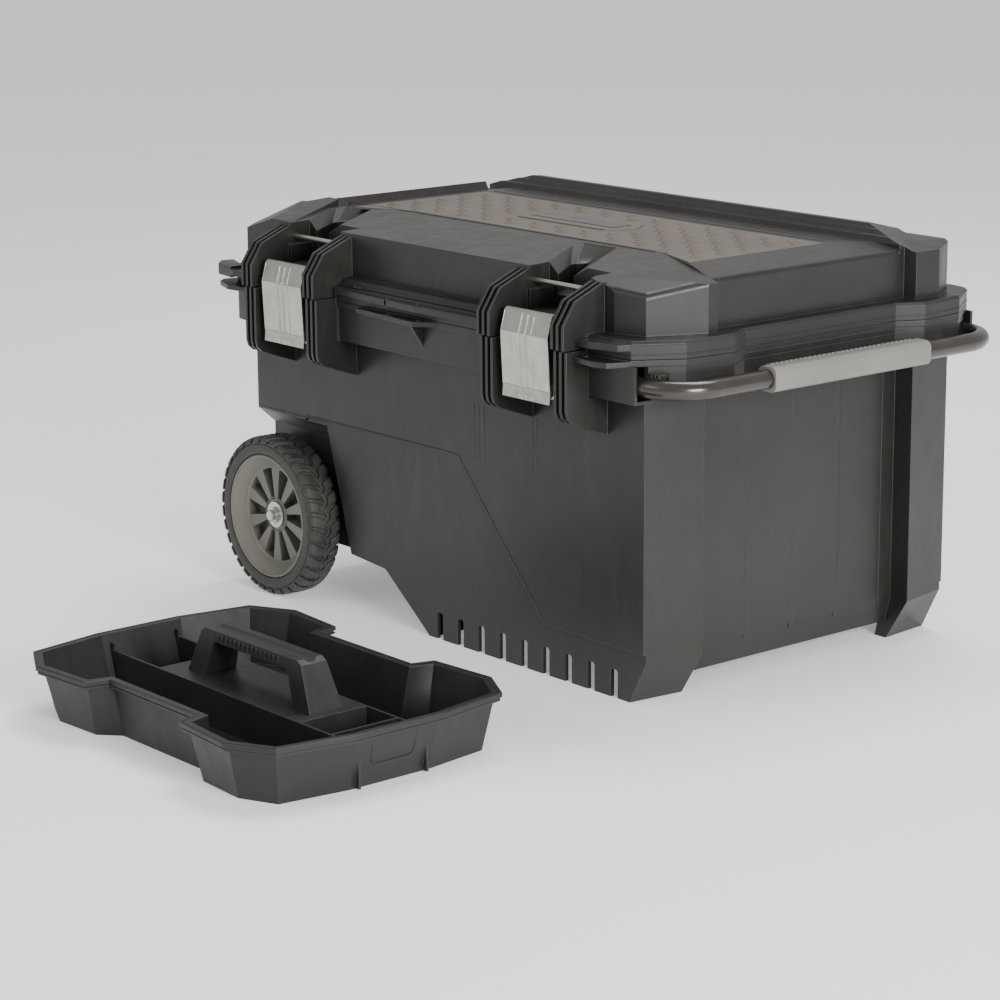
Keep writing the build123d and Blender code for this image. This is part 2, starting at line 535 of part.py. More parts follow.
with BuildPart() as insert:
    prism(Plane.XY.offset(LID_TOP - INSERT_T), [(x * 0.999, y * 0.998) for x, y in INSERT_OUTLINE],
          INSERT_T)
    # raised frame around the blank plate
    with BuildSketch(Plane.XY.offset(LID_TOP)) as frame_band:
        Polygon((-104, -2), (-84, 26), (54, 26), (74, -2), (54, -30), (-84, -30), align=None)
    extrude(frame_band.sketch, amount=1.2)
    block((-82, -16, LID_TOP - 0.4), (52, 12, LID_TOP + 2), mode=Mode.SUBTRACT)
save(insert.part, "lid_insert")

with BuildPart() as plate:
    block((-81.5, -15.5, LID_TOP - 0.4), (51.5, 11.5, LID_TOP + 1.6))
    chamfer(plate.faces().sort_by(Axis.Z)[-1].edges(), 0.6)
save(plate.part, "name_plate")

for name, c in LATCHES.items():
    with BuildPart() as tie_rod:
        rod(TIE_ROD_R, (c - 48, TIE_ROD_Y, TIE_ROD_Z), (c + 48, TIE_ROD_Y, TIE_ROD_Z))
    save(tie_rod.part, f"tie_rod_{name}")

with BuildPart() as pins:
    for x in HINGE_CENTRES:
        reach = HINGE_SPREAD + HINGE_OUTER_W / 2 + 1
        rod(PIN_R, (x - reach, HINGE_Y, HINGE_Z), (x + reach, HINGE_Y, HINGE_Z))
save(pins.part, "hinge_pins")

# ---------------------------------------------------------------- latches
for name, c in LATCHES.items():
    with BuildPart() as bail:
        leg = PLATE_W / 2 + WIRE_R + 0.6
        with BuildLine() as wire_route:
            FilletPolyline((c - 48.5, PIVOT_Y, PIVOT_Z), (c - leg, PIVOT_Y, PIVOT_Z),
                           (c - leg, CURL_Y, CURL_Z), (c + leg, CURL_Y, CURL_Z),
                           (c + leg, PIVOT_Y, PIVOT_Z), (c + 48.5, PIVOT_Y, PIVOT_Z), radius=3.2)
        with BuildSketch(Plane(origin=(c - 48.5, PIVOT_Y, PIVOT_Z), z_dir=(1, 0, 0))):
            Circle(WIRE_R)
        sweep(path=wire_route.wire())
    save(bail.part, f"latch_bail_{name}")

    with BuildPart() as strap:
        curl_out = WIRE_R + RUN_CLEAR + PLATE_T
        # pressed sheet: lip, flat, bend, upper facet and rear hook, curled round the wire
        outer = [(-260.4, 293.6), (-259.3, 305), (-262.4, 358.5), (-256.8, 378), (-254.8, 380.6),
                 (-251.4, 380.6)]
        inner = [(-251.4, 378.8), (-254.2, 378.8), (-255.8, 376.8), (-261.1, 358.2), (-258.1, 305.2),
                 (-259.1, 293.6)]
        prism(end_profile(c - PLATE_W / 2), outer + inner, PLATE_W)
        with BuildSketch(end_profile(c - 30)) as curl:
            with Locations((CURL_Y, CURL_Z)):
                Circle(curl_out)
        extrude(curl.sketch, amount=60)
        rod(WIRE_R + RUN_CLEAR, (c - 40, CURL_Y, CURL_Z), (c + 40, CURL_Y, CURL_Z),
            mode=Mode.SUBTRACT)
        # three pressed beads
        for x in (-9, 0, 9):
            prism(end_profile(c + x - 1.6), [(-260.3, 306), (-263.3, 358.5), (-262.2, 358.5),
                                             (-259.2, 306)], 3.2)
            prism(end_profile(c + x - 1.6), [(-263.3, 358.5), (-258.0, 377), (-256.8, 377),
                                             (-262.2, 358.5)], 3.2)
    save(strap.part, f"latch_plate_{name}")

# ---------------------------------------------------------------- tray
RIM_TRAY = [(216, 48), (202, 128), (156, 153), (80, 147), (73, 124)]
BASE_TRAY = [(196, 45), (186, 116), (149, 133), (90, 130), (70, 112)]


def tray_section(points, z, inset):
    """Closed outline of the tray at a height, moved inwards by inset."""
    with BuildSketch(Plane.XY.offset(z)) as section:
        Polygon(*[(TRAY_X + x, TRAY_Y + y) for x, y in quarter_to_full(points)], align=None)
        if inset:
            offset(amount=-inset, kind=Kind.INTERSECTION, mode=Mode.REPLACE)
    return section.sketch


def tray_shape(inset, z0, z1, mode=Mode.ADD):
    """Drafted tray body between two heights."""
    loft([tray_section(BASE_TRAY, z0, inset), tray_section(RIM_TRAY, z1, inset + 6)], ruled=True,
         mode=mode)


with BuildPart() as tray:
    tray_shape(0, 0, TRAY_H)
    # stepped, rolled lip
    extrude(tray_section(RIM_TRAY, TRAY_H - 8, 2), amount=5)
    extrude(tray_section(RIM_TRAY, TRAY_H - 4, 0), amount=4)
    tray_shape(TRAY_WALL, TRAY_WALL, TRAY_H + 0.01, mode=Mode.SUBTRACT)
    # long dividers either side of the middle strip, cross dividers and the textured deck
    for side in (-1, 1):
        y = TRAY_Y + side * STRIP_HALF
        block((TRAY_X - 203, y - 1.2, 1), (TRAY_X + 203, y + 1.2, DECK_Z))
    block((TRAY_X - 117, TRAY_Y - STRIP_HALF, DECK_Z - 2.5), (TRAY_X + 112, TRAY_Y + STRIP_HALF, DECK_Z))
    for x in (TRAY_X - 117, TRAY_X + 112, TRAY_X + 160):
        block((x - 1.2, TRAY_Y - STRIP_HALF, 1), (x + 1.2, TRAY_Y + STRIP_HALF, DECK_Z))
    # ribs on the end walls
    for side in (-1, 1):
        for y in (-38, 38):
            block((TRAY_X + side * 200 - 2.5, TRAY_Y + y - 1, 14),
                  (TRAY_X + side * 200 + 2.5, TRAY_Y + y + 1, TRAY_H - 8))
save(tray.part, "tray")

with BuildPart() as tray_handle:
    prism(side_profile(TRAY_Y), [
        (TRAY_X - 96, DECK_Z), (TRAY_X - 78, 84), (TRAY_X - 72, 88), (TRAY_X + 78, 88),
        (TRAY_X + 84, 84), (TRAY_X + 102, DECK_Z), (TRAY_X + 76, DECK_Z), (TRAY_X + 64, 74),
        (TRAY_X + 60, 77), (TRAY_X - 54, 77), (TRAY_X - 58, 74), (TRAY_X - 70, DECK_Z)], 19, both=True)
    for side in (-1, 1):
        prism(end_profile(0), [(TRAY_Y + side * 19, DECK_Z), (TRAY_Y + side * 14, 90),
                               (TRAY_Y + side * 22, 90), (TRAY_Y + side * 22, DECK_Z)], 260,
              mode=Mode.SUBTRACT)
    # round groove along the top for the fingers' backs
    rod(9, (TRAY_X - 110, TRAY_Y, 94), (TRAY_X + 110, TRAY_Y, 94), mode=Mode.SUBTRACT)
save(tray_handle.part, "tray_handle")
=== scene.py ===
"""Looks of the wheeled tool chest: materials, moulded detail, light and camera."""
import math

import bmesh
import bpy
from mathutils import Matrix, Vector


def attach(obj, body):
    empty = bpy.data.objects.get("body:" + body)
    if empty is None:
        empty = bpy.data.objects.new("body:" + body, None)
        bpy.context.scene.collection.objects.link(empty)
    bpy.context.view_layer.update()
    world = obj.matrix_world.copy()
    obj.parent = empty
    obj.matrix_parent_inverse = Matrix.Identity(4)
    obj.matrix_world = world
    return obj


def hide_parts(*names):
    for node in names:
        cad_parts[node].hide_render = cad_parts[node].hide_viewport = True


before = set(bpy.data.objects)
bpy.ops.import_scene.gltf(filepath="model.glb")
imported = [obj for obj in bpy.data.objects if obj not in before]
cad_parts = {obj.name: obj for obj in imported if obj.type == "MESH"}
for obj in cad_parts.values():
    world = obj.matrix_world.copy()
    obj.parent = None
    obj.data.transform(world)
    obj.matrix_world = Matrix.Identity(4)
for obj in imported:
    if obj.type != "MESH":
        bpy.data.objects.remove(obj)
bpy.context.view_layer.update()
MM = 0.001


# ---------------------------------------------------------------- camera
def aim_camera():
    """Camera at the viewing angle of a product shot: long lens, a little above the lid."""
    yaw, pitch, roll = (math.radians(a) for a in (50.304, 13.435, 0.415))
    ahead = Vector((-math.sin(yaw) * math.cos(pitch), math.cos(yaw) * math.cos(pitch),
                    -math.sin(pitch)))
    level = Vector((math.cos(yaw), math.sin(yaw), 0))
    below = ahead.cross(level)
    right = math.cos(roll) * level + math.sin(roll) * below
    down = -math.sin(roll) * level + math.cos(roll) * below
    data = bpy.data.cameras.new("camera")
    data.sensor_width = 36
    data.lens = 107.79
    data.clip_end = 50
    camera = bpy.data.objects.new("camera", data)
    turn = Matrix((right, -down, -ahead)).transposed()
    camera.matrix_world = Matrix.Translation((2.3632, -2.0898, 0.8716)) @ turn.to_4x4()
    bpy.context.scene.collection.objects.link(camera)
    bpy.context.scene.camera = camera


# ---------------------------------------------------------------- node helpers
class Nodes:
    """Short hand for building one material's node tree."""

    def __init__(self, name):
        self.material = bpy.data.materials.new(name)
        self.material.use_nodes = True
        self.tree = self.material.node_tree
        self.tree.nodes.clear()
        self.output = self.add("ShaderNodeOutputMaterial")
        self.shader = self.add("ShaderNodeBsdfPrincipled")
        self.link(self.shader.outputs[0], self.output.inputs[0])
        self.place = self.add("ShaderNodeTexCoord").outputs["Object"]

    def add(self, kind, **settings):
        node = self.tree.nodes.new(kind)
        for key, value in settings.items():
            setattr(node, key, value)
        return node

    def link(self, source, target):
        self.tree.links.new(source, target)

    def set(self, **values):
        """Set the shader's constant inputs by name, with underscores for spaces."""
        for key, value in values.items():
            self.shader.inputs[key.replace("_", " ")].default_value = value

    def stretched(self, x, y, z):
        """Object coordinates scaled along each axis."""
        mapping = self.add("ShaderNodeMapping")
        mapping.inputs["Scale"].default_value = (x, y, z)
        self.link(self.place, mapping.inputs["Vector"])
        return mapping.outputs[0]

    def noise(self, vector, scale, detail=3.0, rough=0.55, distort=0.0):
        node = self.add("ShaderNodeTexNoise")
        self.link(vector, node.inputs["Vector"])
        node.inputs["Scale"].default_value = scale
        node.inputs["Detail"].default_value = detail
        node.inputs["Roughness"].default_value = rough
        node.inputs["Distortion"].default_value = distort
        return node.outputs["Fac"]

    def ramp(self, value, low, high, out_low=0.0, out_high=1.0):
        """Map a value range to another, clamped."""
        node = self.add("ShaderNodeMapRange")
        self.link(value, node.inputs["Value"])
        for key, number in (("From Min", low), ("From Max", high), ("To Min", out_low),
                            ("To Max", out_high)):
            node.inputs[key].default_value = number
        return node.outputs["Result"]

    def math(self, operation, first, second=None):
        node = self.add("ShaderNodeMath", operation=operation)
        for socket, value in zip(node.inputs, (first, second)):
            if isinstance(value, (int, float)):
                socket.default_value = value
            elif value is not None:
                self.link(value, socket)
        return node.outputs[0]

    def mix(self, factor, first, second):
        """Blend two colours; each is a colour tuple or a socket."""
        node = self.add("ShaderNodeMix", data_type="RGBA")
        sockets = (node.inputs["Factor"], node.inputs[6], node.inputs[7])
        for socket, value in zip(sockets, (factor, first, second)):
            if isinstance(value, (int, float)):
                socket.default_value = value
            elif isinstance(value, tuple):
                socket.default_value = (*value, 1.0)
            else:
                self.link(value, socket)
        return node.outputs[2]

    def bump(self, height, strength, distance, normal=None):
        node = self.add("ShaderNodeBump")
        node.inputs["Strength"].default_value = strength
        node.inputs["Distance"].default_value = distance
        self.link(height, node.inputs["Height"])
        if normal:
            self.link(normal, node.inputs["Normal"])
        return node.outputs[0]

    def rounded(self, radius):
        """Normal with the edges rounded by radius, and a mask that is 1 on those edges."""
        bevel = self.add("ShaderNodeBevel", samples=6)
        bevel.inputs["Radius"].default_value = radius
        true_normal = self.add("ShaderNodeNewGeometry").outputs["Normal"]
        dot = self.add("ShaderNodeVectorMath", operation="DOT_PRODUCT")
        self.link(bevel.outputs[0], dot.inputs[0])
        self.link(true_normal, dot.inputs[1])
        return bevel.outputs[0], self.ramp(dot.outputs["Value"], 0.97, 0.80)


def moulded(name, colour, warm, rough=0.38, edge=0.0011, scratch=0.6, flow=0.6, grain=0.05,
            lift=1.0):
    """Moulded plastic: cloudy flow marks, fine scuffs, rounded edges painted lighter (partly wear,
    partly painted highlight), faint grain.
    """
    n = Nodes(name)
    normal, edges = n.rounded(edge)
    cloud = n.noise(n.place, 5.0, 4.0, 0.6, 0.8)
    swirl = n.noise(n.stretched(1, 1, 0.35), 14.0, 5.0, 0.62, 3.5)
    scuff = n.noise(n.stretched(520, 520, 30), 1.0, 4.0, 0.7)
    patch = n.noise(n.place, 9.0, 3.0, 0.6)
    base = n.mix(n.ramp(cloud, 0.35, 0.68), colour, warm)
    lighter = tuple(min(1.0, c * (1 + 1.6 * lift) + 0.010) for c in colour)
    marks = n.math("MULTIPLY", n.ramp(scuff, 0.62, 0.80), n.ramp(patch, 0.45, 0.7, 0.0, scratch))
    base = n.mix(marks, base, lighter)
    base = n.mix(n.math("MULTIPLY", n.ramp(swirl, 0.45, 0.75), 0.22 * flow), base, lighter)
    # rounded edges painted lighter: partly wear, partly a painted highlight standing in for light
    # catching the edges
    edge_wear_and_highlight_colour = tuple(min(1.0, c * (1 + 3.5 * lift) + 0.04) for c in colour)
    edge_wear_and_highlight = n.math("MULTIPLY", edges, n.ramp(patch, 0.3, 0.65, 0.25, 0.8))
    base = n.mix(edge_wear_and_highlight, base, edge_wear_and_highlight_colour)
    n.link(base, n.shader.inputs["Base Color"])
    shine = n.math("ADD", n.ramp(swirl, 0.3, 0.7, rough - 0.07, rough + 0.07),
                   n.math("MULTIPLY", marks, 0.18))
    n.link(shine, n.shader.inputs["Roughness"])
    fine = n.noise(n.place, 1400.0, 2.0, 0.6)
    normal = n.bump(fine, grain, 0.0004, normal)
    normal = n.bump(swirl, 0.12 * flow, 0.002, normal)
    n.link(normal, n.shader.inputs["Normal"])
    n.set(Specular_IOR_Level=0.42)
    return n.material


def sheet_steel(name, colour=(0.52, 0.54, 0.49), rough=0.28):
    """Bright zinc-plated steel with a faint vertical grain and cloudy plating."""
    n = Nodes(name)
    normal, edges = n.rounded(0.0006)
    grain = n.noise(n.stretched(900, 900, 25), 1.0, 3.0, 0.6)
    cloud = n.noise(n.place, 60.0, 4.0, 0.6, 0.6)
    base = n.mix(n.ramp(cloud, 0.3, 0.7), colour, tuple(c * 0.80 for c in colour))
    n.link(base, n.shader.inputs["Base Color"])
    n.link(n.math("ADD", n.ramp(grain, 0.3, 0.7, rough - 0.05, rough + 0.08),
                  n.ramp(cloud, 0.3, 0.7, 0.0, 0.10)), n.shader.inputs["Roughness"])
    n.link(n.bump(grain, 0.10, 0.0003, normal), n.shader.inputs["Normal"])
    n.set(Metallic=1.0)
    return n.material


def painted_tube(name):
    """Gloss black powder coat with slight orange peel."""
    n = Nodes(name)
    peel = n.noise(n.place, 380.0, 2.0, 0.5)
    cloud = n.noise(n.place, 18.0, 3.0, 0.6)
    n.link(n.mix(n.ramp(cloud, 0.3, 0.7), (0.016, 0.014, 0.012), (0.030, 0.026, 0.022)),
           n.shader.inputs["Base Color"])
    n.link(n.ramp(cloud, 0.3, 0.7, 0.20, 0.30), n.shader.inputs["Roughness"])
    n.link(n.bump(peel, 0.10, 0.0004), n.shader.inputs["Normal"])
    n.set(Coat_Weight=0.3, Coat_Roughness=0.15)
    return n.material


def rubber(name):
    """Tyre rubber with dusty patches, and rounded edges painted lighter, partly dust and partly painted
    highlight.
    """
    n = Nodes(name)
    normal, edges = n.rounded(0.0008)
    dust = n.noise(n.place, 45.0, 5.0, 0.65, 0.4)
    base = n.mix(n.ramp(dust, 0.4, 0.75), (0.022, 0.021, 0.020), (0.055, 0.050, 0.045))
    # rounded edges painted lighter: partly dust, partly a painted highlight on the edges
    base = n.mix(n.math("MULTIPLY", edges, 0.5), base, (0.10, 0.095, 0.09))
    n.link(base, n.shader.inputs["Base Color"])
    n.link(n.ramp(dust, 0.3, 0.8, 0.48, 0.72), n.shader.inputs["Roughness"])
    n.link(n.bump(n.noise(n.place, 700.0, 3.0, 0.6), 0.2, 0.0004, normal), n.shader.inputs["Normal"])
    return n.material


def paint(material, *names):
    """Give CAD nodes one material."""
    for name in names:
        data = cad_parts[name].data
        data.materials.clear()
        data.materials.append(material)


# ---------------------------------------------------------------- stage
def set_stage():
    """Plain pale floor, bright surroundings and soft studio lights."""
    bpy.ops.mesh.primitive_plane_add(size=30)
    floor = bpy.context.object
    floor.name = "floor"
    n = Nodes("floor_pale")
    tone = n.noise(n.place, 0.6, 2.0, 0.5)
    n.link(n.mix(tone, (0.90, 0.90, 0.90), (0.93, 0.93, 0.93)), n.shader.inputs["Base Color"])
    n.set(Roughness=0.75, Emission_Color=(1, 1, 1, 1), Emission_Strength=0.3)
    floor.data.materials.append(n.material)
    world = bpy.data.worlds.new("studio")
    bpy.context.scene.world = world
    world.use_nodes = True
    background = world.node_tree.nodes["Background"]
    background.inputs[0].default_value = (1.0, 1.0, 1.0, 1.0)
    background.inputs[1].default_value = 0.6
    lights = (
        ("key", (3.2, -0.8, 1.1), (0.2, 0.0, 0.2), 1.3, 125, (1.0, 0.985, 0.96)),
        ("front", (-0.9, -3.0, 2.0), (0.0, 0.0, 0.2), 1.6, 15, (1.0, 0.99, 0.97)),
        ("top", (-0.2, 0.9, 3.0), (0.0, 0.0, 0.3), 1.8, 60, (1.0, 1.0, 1.0)),
    )
    for name, place, target, size, watts, colour in lights:
        data = bpy.data.lights.new(name, "AREA")
        data.shape = "RECTANGLE"
        data.size = size
        data.size_y = size * 0.7
        data.energy = watts
        data.color = colour
        lamp = bpy.data.objects.new(name, data)
        lamp.location = place
        aim = Vector(target) - Vector(place)
        lamp.rotation_euler = aim.to_track_quat("-Z", "Y").to_euler()
        bpy.context.scene.collection.objects.link(lamp)


# ---------------------------------------------------------------- pieces
class Form:
    """Vertices and faces of one piece, gathered in millimetres."""

    def __init__(self):
        self.points, self.faces = [], []

    def patch(self, points, faces):
        base = len(self.points)
        self.points += [Vector(p) for p in points]
        self.faces += [[base + i for i in face] for face in faces]

    def loft(self, rings, closed=False):
        """Skin a row of equal closed sections; open ends are capped."""
        size, count = len(rings[0]), len(rings)
        faces = []
        for i in range(count if closed else count - 1):
            j = (i + 1) % count
            for k in range(size):
                m = (k + 1) % size
                faces.append([i * size + k, i * size + m, j * size + m, j * size + k])
        if not closed:
            faces.append(list(range(size)))
            faces.append([(count - 1) * size + k for k in range(size)])
        self.patch([p for ring in rings for p in ring], faces)

    def bead(self, path, up, width, height, closed=False, sink=0.3):
        """Low rounded strip along a path; with no up, it faces outwards from a path about Z."""
        path = [Vector(p) for p in path]
        rings = []
        for i, point in enumerate(path):
            last = path[i - 1] if i or closed else point
            ahead = path[(i + 1) % len(path)] if i < len(path) - 1 or closed else point
            along = (ahead - last).normalized()
            rise = Vector(up) if up else along.cross(Vector((0, 0, 1))).normalized()
            side = rise.cross(along).normalized()
            rings.append([point + side * width * a + rise * b for a, b in (
                (-0.5, -sink), (-0.5, 0.25 * height), (-0.3, 0.85 * height), (0, height),
                (0.3, 0.85 * height), (0.5, 0.25 * height), (0.5, -sink))])
        self.loft(rings, closed)

    def block(self, centre, along, up, length, width, height, inset=0.4, sink=0.5):
        """Block with a smaller top, standing on a surface."""
        along, up = Vector(along).normalized(), Vector(up).normalized()
        side = up.cross(along)
        rings = []
        for level, cut in ((-sink, 0), (height - inset, 0), (height, inset)):
            rings.append([Vector(centre) + along * a * (length / 2 - cut)
                          + side * b * (width / 2 - cut) + up * level
                          for a, b in ((-1, -1), (1, -1), (1, 1), (-1, 1))])
        self.loft(rings)

    def lens(self, centre, along, length, width, height, steps=6):
        """Raised spindle, highest along its middle, on a surface that faces up."""
        along, up = Vector(along).normalized(), Vector((0, 0, 1))
        side = up.cross(along)
        rings = []
        for i in range(steps + 1):
            t = -1 + 2 * i / steps
            half = max(0.08, (1 - t * t) ** 0.5) * width / 2
            top = height * max(0.05, (1 - t ** 4))
            middle = Vector(centre) + along * t * length / 2
            rings.append([middle + side * half - up * 0.3, middle + side * half * 0.55 + up * top,
                          middle - side * half * 0.55 + up * top, middle - side * half - up * 0.3])
        self.loft(rings)

    def piece(self, name, body, slot, material, smooth=False):
        mesh = bmesh.new()
        corners = [mesh.verts.new(p * MM) for p in self.points]
        for face in self.faces:
            mesh.faces.new([corners[i] for i in face])
        bmesh.ops.recalc_face_normals(mesh, faces=mesh.faces[:])
        data = bpy.data.meshes.new(name)
        mesh.to_mesh(data)
        mesh.free()
        data.materials.append(material)
        for polygon in data.polygons:
            polygon.use_smooth = smooth
        piece = bpy.data.objects.new(name, data)
        bpy.context.scene.collection.objects.link(piece)
        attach(piece, body)
        return piece


def inside(point, outline):
    """Is a plan point within an outline?"""
    x, y = point
    hit = False
    for (xa, ya), (xb, yb) in zip(outline, outline[1:] + outline[:1]):
        if (ya > y) != (yb > y) and x < (xb - xa) * (y - ya) / (yb - ya) + xa:
            hit = not hit
    return hit


def shrunk(outline, amount):
    """Outline moved towards its middle."""
    cx = sum(p[0] for p in outline) / len(outline)
    cy = sum(p[1] for p in outline) / len(outline)
    return [(x - amount * (1 if x > cx else -1), y - amount * (1 if y > cy else -1))
            for x, y in outline]


# measures repeated from the chest's design, millimetres
LID_TOP = 420.0
LATCHES = {"left": -199.0, "right": 199.0}
WHEEL_X, WHEEL_R = -269.0, 89.0
TRAY = (127.0, -528.0)
INSERT = [(268, 76), (-268, 76), (-268, -110), (-197, -83), (197, -83), (268, -110)]
BADGE = [(-110, -2), (-87, 31), (57, 31), (80, -2), (57, -35), (-87, -35)]
RIM = [(341.4, 0), (341.4, 105), (356.3, 132.5), (350, 190), (321, 234), (300, 238)]
RIM_HANDLE_END = [(x, -y) for x, y in reversed(RIM[1:])] + RIM[1:]


def tread_plate():
    """Raised dashes with a half-moon between them over the lid's insert."""
    form = Form()
    field = shrunk(INSERT, 9)
    along = Vector((0.64, 0.77, 0))
    across = Vector((0.77, -0.64, 0))
    for i in range(-40, 41):
        for j in range(-20, 21):
            x, y = 28.9 * i + 4.2 * j - 14, 9.6 * i + 30.1 * j + 3
            for dx, dy, moon in ((0, 0, False), (0.77 * 16, -0.64 * 16, True)):
                spot = (x + dx, y + dy)
                if not inside(spot, field) or inside(spot, shrunk(BADGE, -7)):
                    continue
                middle = Vector((*spot, LID_TOP))
                if moon:
                    bow = [middle + across * (2.4 * math.cos(t) - 1) + along * 3.6 * math.sin(t)
                           for t in (math.radians(a) for a in range(-80, 81, 32))]
                    form.bead(bow, (0, 0, 1), 2.6, 1.2)
                else:
                    form.lens(middle, along, 17, 3.6, 1.5)
    return form


def wheel_tyre(side):
    """Tyre body with two staggered rows of slanting shoulder blocks and a zigzag middle."""
    form = Form()
    profile = [(68.5, 3.5), (70, 1.2), (73, 0.4), (77, 0.2), (80, 0.6), (80.6, 1.6), (82.5, 1.8),
               (84.2, 3.6), (85.2, 6.5), (85.6, 10), (85.6, 30), (85.2, 33.5), (84.2, 36.4),
               (82.5, 38.2), (80.6, 38.4), (80, 39.4), (77, 39.8), (73, 39.6), (70, 38.8),
               (68.5, 36.5)]

    def at(radius, turn, depth):
        return Vector((WHEEL_X + radius * math.cos(turn), side * (201 + depth),
                       WHEEL_R + radius * math.sin(turn)))

    count = 120
    form.loft([[at(r, 2 * math.pi * k / count, d) for r, d in profile] for k in range(count)],
              closed=True)
    lugs = 34
    pitch = 2 * math.pi / lugs
    for k in range(lugs):
        for end in (-1, 1):
            turn = pitch * (k + (0.5 if end > 0 else 0.0))
            rings = []
            for out, top, skew, half in ((4.5, 88.9, -0.24, 0.30), (11, 88.9, -0.05, 0.33),
                                         (15.5, 88.3, 0.05, 0.36), (18.2, 86.6, 0.1, 0.34),
                                         (19.5, 83.4, 0.12, 0.28)):
                depth = 20 + end * out
                a0, a1 = turn + (skew - half) * pitch, turn + (skew + half) * pitch
                low = min(top - 1.5, 84.6)
                rings.append([at(low, a0 - 0.05 * pitch, depth), at(top - 0.5, a0, depth),
                              at(top, a0 + 0.06 * pitch, depth), at(top, a1 - 0.06 * pitch, depth),
                              at(top - 0.5, a1, depth), at(low, a1 + 0.05 * pitch, depth)])
            form.loft(rings)
        turn = pitch * (k + 0.25)
        rings = []
        for out in (-4, 0, 4):
            shift = -0.22 if out == 0 else 0.1
            a0, a1 = turn + (shift - 0.3) * pitch, turn + (shift + 0.3) * pitch
            rings.append([at(84.8, a0, 20 + out), at(88.8, a0 + 0.05 * pitch, 20 + out),
                          at(88.8, a1 - 0.05 * pitch, 20 + out), at(84.8, a1, 20 + out)])
        form.loft(rings)
    return form


def wheel_trim(side):
    """Lip and step rings on the rim's outer face."""
    form = Form()
    count = 72
    for radius, depth, width, height in ((66.9, 38.3, 2.2, 1.0), (56.0, 27.3, 1.6, 0.9),
                                         (19.0, 25.0, 1.4, 0.9)):
        path = [(WHEEL_X + radius * math.cos(2 * math.pi * k / count), side * (201 + depth),
                 WHEEL_R + radius * math.sin(2 * math.pi * k / count)) for k in range(count)]
        form.bead(path, (0, side, 0), width, height, closed=True)
    return form


def rim_beads(levels, out=0.0, low=0, high=None):
    """Thin strips round the handle end of the rim at the given heights."""
    form = Form()
    for z, width, height in levels:
        form.bead([(x + (out if x > 340 else 0), y, z) for x, y in RIM_HANDLE_END[low:high]], None,
                  width, height)
    return form


def grip_ridges():
    """Serrations for the fingers along the grip, and two slot outlines on its outer face."""
    form = Form()
    for k in range(31):
        y = -96 + 6.4 * k
        form.block((366.3, y, 331.0), (1, 0, 0.25), (-0.3, 0, 1), 7.5, 3.0, 1.5, 0.5, 1.0)
    for y0 in (-66, 10):
        corners = []
        for cy, cz, a0 in ((y0 + 56, 324.5, 0), (y0 + 56, 316.5, -90), (y0, 316.5, -180),
                           (y0, 324.5, -270)):
            corners += [(387.1, cy + 2.5 * math.cos(math.radians(a0 - t + 90)),
                         cz + 2.5 * math.sin(math.radians(a0 - t + 90))) for t in (0, 45, 90)]
        form.bead(corners, (1, 0, 0), 1.0, 0.12, closed=True)
    return form


def ridge_lines():
    """Fine parallel strips on the rear ridge's front and on the flat in front of it."""
    form = Form()
    for y, z, width, height in ((84.0, 420.0, 1.4, 0.5), (101.0, 419.4, 1.2, 0.4),
                                (112.0, 418.9, 1.2, 0.4), (118.5, 418.7, 1.2, 0.4)):
        form.bead([(-262, y, z), (0, y, z), (262, y, z)], (0, 0.05, 1), width, height)
    form.bead([(-268, 133.3, 424.4), (268, 133.3, 424.4)], (0, -0.5, 0.86), 1.0, 0.5)
    form.bead([(-268, 140.6, 429.4), (268, 140.6, 429.4)], (0, -0.5, 0.86), 1.0, 0.5)
    # seam between the front band and the insert
    form.bead([(-302, -92, 419.8), (-196, -88.5, 420.0), (196, -88.5, 420.0)], (0, 0, 1), 1.4, 0.5)
    return form


def front_ledge():
    """Stepped lines and two small blocks on the lid's ledge between the latches."""
    form = Form()
    for y, z in ((-228.5, 368.6), (-222, 369.4)):
        form.bead([(-130, y, z), (130, y, z)], (0, -0.3, 0.95), 1.2, 0.5)
    for y, z in ((-236.4, 364.0), (-233.5, 364.0)):
        form.bead([(-131, y, z), (131, y, z)], (0, 0, 1), 1.0, 0.7)
    form.bead([(-131, -238.0, 357.5), (131, -238.0, 357.5)], (0, -1, 0), 1.4, 0.5)
    for x in (-104, -96):
        form.block((x, -236, 364), (1, 0, 0), (0, 0, 1), 3.5, 3.0, 1.4)
    return form


def wall_flutes():
    """Faint upright strips and horizontal steps on the front and rear walls."""
    form = Form()
    for side in (-1, 1):
        for x in (60, 68, 76, 152, 158):
            form.bead([(x, side * 212, 206), (x, side * 212, 262)], (0, side, 0), 3.2, 0.4)
        form.bead([(-228, side * 212, 205.2), (34, side * 212, 205.2), (169, side * 212, 55)],
                  (0, side, 0), 2.2, 0.7)
        form.bead([(-312, side * 212, 203), (-200, side * 212, 203)], (0, side, 0), 1.6, 0.5)
    for y in (-64, 0, 64):
        form.bead([(305, y, 40), (305, y, 314)], (1, 0, 0), 5.0, 0.25)
    for side in (-1, 1):
        form.bead([(305, side * 128, 40), (305, side * 128, 314)], (1, 0, 0), 2.0, 0.5)
    return form


def skirt_teeth():
    """Small gussets under the rim at the handle end."""
    form = Form()
    for y in (-118, -90, -60, -30, 0, 30, 60, 90, 118):
        form.block((336, y, 317), (1, 0, 0), (0, 0, -1), 7, 1.6, 3.0, 0.5, 1.0)
    for x in (336, 341, 346):
        form.block((x, -215, 333), (1, 0, 0), (0, 0, -1), 2.2, 14, 2.6, 0.5, 1.0)
    return form


